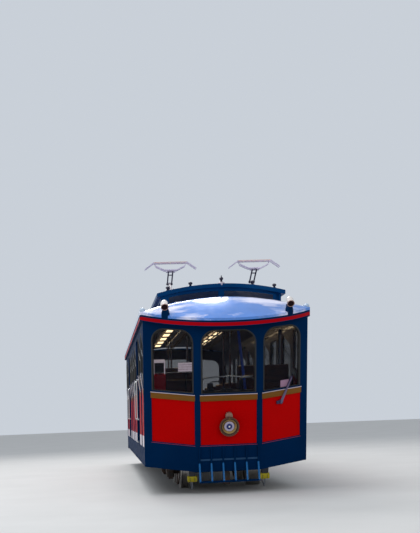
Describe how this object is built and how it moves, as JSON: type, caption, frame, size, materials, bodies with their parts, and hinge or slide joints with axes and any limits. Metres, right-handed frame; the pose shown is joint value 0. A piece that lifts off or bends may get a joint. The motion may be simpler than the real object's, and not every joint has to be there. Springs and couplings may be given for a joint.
{
  "type": "funicular railway car",
  "caption": "Stepped funicular car with faceted end walls, domed roof nose, lantern roof, sliding doors, two swivelling bogies and roof pantographs.",
  "frame": {"origin": "middle of the car on the track plane at rail head height, below the centre line", "axes": "+Y along the track to the downhill end, +Z square to the track plane, +X to the right seen from the uphill end"},
  "size_m": [2.58, 12.6157, 3.7164],
  "materials": {
    "navy_paint": "gloss coach paint, deep blue green",
    "red_paint": "gloss coach paint, bright red",
    "belt_gold": "ochre gold trim with a pale edge",
    "window_glass": "clear safety glass",
    "roof_blue": "glossy light blue roof paint",
    "lantern_blue": "dark blue roof paint",
    "dark_glass": "dark tinted glass",
    "floor_grey": "ribbed dark floor covering",
    "wood": "varnished brown wood",
    "seat_red": "red plush",
    "desk_dark": "dark satin paint",
    "rail_metal": "brushed tube",
    "light_cream": "cream light panel",
    "lamp_brass": "polished brass",
    "lamp_white": "white enamel",
    "yellow_paint": "yellow paint",
    "black_rubber": "black rubber and paint",
    "running_gear": "dark grease-stained iron",
    "wheel_steel": "steel, bright treads",
    "panto_steel": "grey painted steel tube",
    "porcelain": "brown glazed insulators"
  },
  "bodies": {
    "body": {"upper_end_frame": "navy_paint", "lower_end_frame": "navy_paint", "left_side_frame": "navy_paint", "right_side_frame": "navy_paint", "red_panels": "red_paint", "belt_mouldings": "belt_gold", "end_glass": "window_glass", "side_glass": "window_glass", "roof_deck": "roof_blue", "roof_fascia": "navy_paint", "roof_stripe": "red_paint", "clerestory_walls": "lantern_blue", "clerestory_glass": "dark_glass", "clerestory_roof": "lantern_blue", "floor": "floor_grey", "seat_frames": "wood", "seat_cushions": "seat_red", "driver_desks": "desk_dark", "cab_partitions": "wood", "handrails": "rail_metal", "ceiling_lights": "light_cream", "headlights": "lamp_brass", "roof_lamps": "lamp_white", "pilots": "navy_paint", "end_blocks": "yellow_paint", "wipers": "black_rubber", "pantograph_bases": "panto_steel", "roof_insulators": "porcelain", "underframe": "running_gear", "rope_socket": "running_gear", "equipment_boxes": "desk_dark"},
    "upper_left_door": {"upper_left_door": "navy_paint", "upper_left_door_glass": "window_glass"},
    "upper_right_door": {"upper_right_door": "navy_paint", "upper_right_door_glass": "window_glass"},
    "lower_left_door": {"lower_left_door": "navy_paint", "lower_left_door_glass": "window_glass"},
    "lower_right_door": {"lower_right_door": "navy_paint", "lower_right_door_glass": "window_glass"},
    "left_lower_arm": {"left_lower_arm": "panto_steel"},
    "left_upper_arm": {"left_upper_arm": "panto_steel"},
    "left_collector_head": {"left_collector_head": "panto_steel"},
    "right_lower_arm": {"right_lower_arm": "panto_steel"},
    "right_upper_arm": {"right_upper_arm": "panto_steel"},
    "right_collector_head": {"right_collector_head": "panto_steel"},
    "upper_bogie": {"upper_bogie_frame": "running_gear", "upper_axle_boxes": "running_gear", "upper_rail_brake": "running_gear"},
    "upper_wheelset_1": {"upper_wheelset_1": "wheel_steel"},
    "upper_wheelset_2": {"upper_wheelset_2": "wheel_steel"},
    "lower_bogie": {"lower_bogie_frame": "running_gear", "lower_axle_boxes": "running_gear", "lower_rail_brake": "running_gear"},
    "lower_wheelset_1": {"lower_wheelset_1": "wheel_steel"},
    "lower_wheelset_2": {"lower_wheelset_2": "wheel_steel"}
  },
  "joints": [
    {"name": "upper_left_door_slide", "type": "slide", "parent": "body", "child": "upper_left_door", "axis": [0, 1, 0], "range_m": [0, 0.9]},
    {"name": "upper_right_door_slide", "type": "slide", "parent": "body", "child": "upper_right_door", "axis": [0, 1, 0], "range_m": [0, 0.9]},
    {"name": "lower_left_door_slide", "type": "slide", "parent": "body", "child": "lower_left_door", "axis": [0, -1, 0], "range_m": [0, 0.9]},
    {"name": "lower_right_door_slide", "type": "slide", "parent": "body", "child": "lower_right_door", "axis": [0, -1, 0], "range_m": [0, 0.9]},
    {"name": "left_pantograph_lift", "type": "hinge", "parent": "body", "child": "left_lower_arm", "pos_m": [-0.7, -4.71193, 3.227], "axis": [1, 0, 0], "range_deg": [-16, 35]},
    {"name": "left_pantograph_elbow", "type": "hinge", "parent": "left_lower_arm", "child": "left_upper_arm", "pos_m": [-0.7, -4.34264, 3.38071], "axis": [1, 0, 0], "range_deg": [-71, 33]},
    {"name": "left_collector_tilt", "type": "hinge", "parent": "left_upper_arm", "child": "left_collector_head", "pos_m": [-0.7, -4.71193, 3.53443], "axis": [1, 0, 0], "range_deg": [-17, 36]},
    {"name": "right_pantograph_lift", "type": "hinge", "parent": "body", "child": "right_lower_arm", "pos_m": [0.7, -4.71193, 3.227], "axis": [1, 0, 0], "range_deg": [-16, 35]},
    {"name": "right_pantograph_elbow", "type": "hinge", "parent": "right_lower_arm", "child": "right_upper_arm", "pos_m": [0.7, -4.34264, 3.38071], "axis": [1, 0, 0], "range_deg": [-71, 33]},
    {"name": "right_collector_tilt", "type": "hinge", "parent": "right_upper_arm", "child": "right_collector_head", "pos_m": [0.7, -4.71193, 3.53443], "axis": [1, 0, 0], "range_deg": [-17, 36]},
    {"name": "upper_bogie_swivel", "type": "hinge", "parent": "body", "child": "upper_bogie", "pos_m": [0, -3.5, 0.6], "axis": [0, 0, 1], "range_deg": [-4, 4]},
    {"name": "upper_wheelset_1_roll", "type": "hinge", "parent": "upper_bogie", "child": "upper_wheelset_1", "pos_m": [0, -4.25, 0.28], "axis": [1, 0, 0], "continuous": true},
    {"name": "upper_wheelset_2_roll", "type": "hinge", "parent": "upper_bogie", "child": "upper_wheelset_2", "pos_m": [0, -2.75, 0.28], "axis": [1, 0, 0], "continuous": true},
    {"name": "lower_bogie_swivel", "type": "hinge", "parent": "body", "child": "lower_bogie", "pos_m": [0, 3.5, 0.6], "axis": [0, 0, 1], "range_deg": [-4, 4]},
    {"name": "lower_wheelset_1_roll", "type": "hinge", "parent": "lower_bogie", "child": "lower_wheelset_1", "pos_m": [0, 2.75, 0.28], "axis": [1, 0, 0], "continuous": true},
    {"name": "lower_wheelset_2_roll", "type": "hinge", "parent": "lower_bogie", "child": "lower_wheelset_2", "pos_m": [0, 4.25, 0.28], "axis": [1, 0, 0], "continuous": true}
  ],
  "couplings": [
    {"joint": "left_pantograph_elbow", "follows": "left_pantograph_lift", "ratio": -2},
    {"joint": "left_collector_tilt", "follows": "left_pantograph_lift", "ratio": 1},
    {"joint": "right_pantograph_elbow", "follows": "right_pantograph_lift", "ratio": -2},
    {"joint": "right_collector_tilt", "follows": "right_pantograph_lift", "ratio": 1}
  ]
}
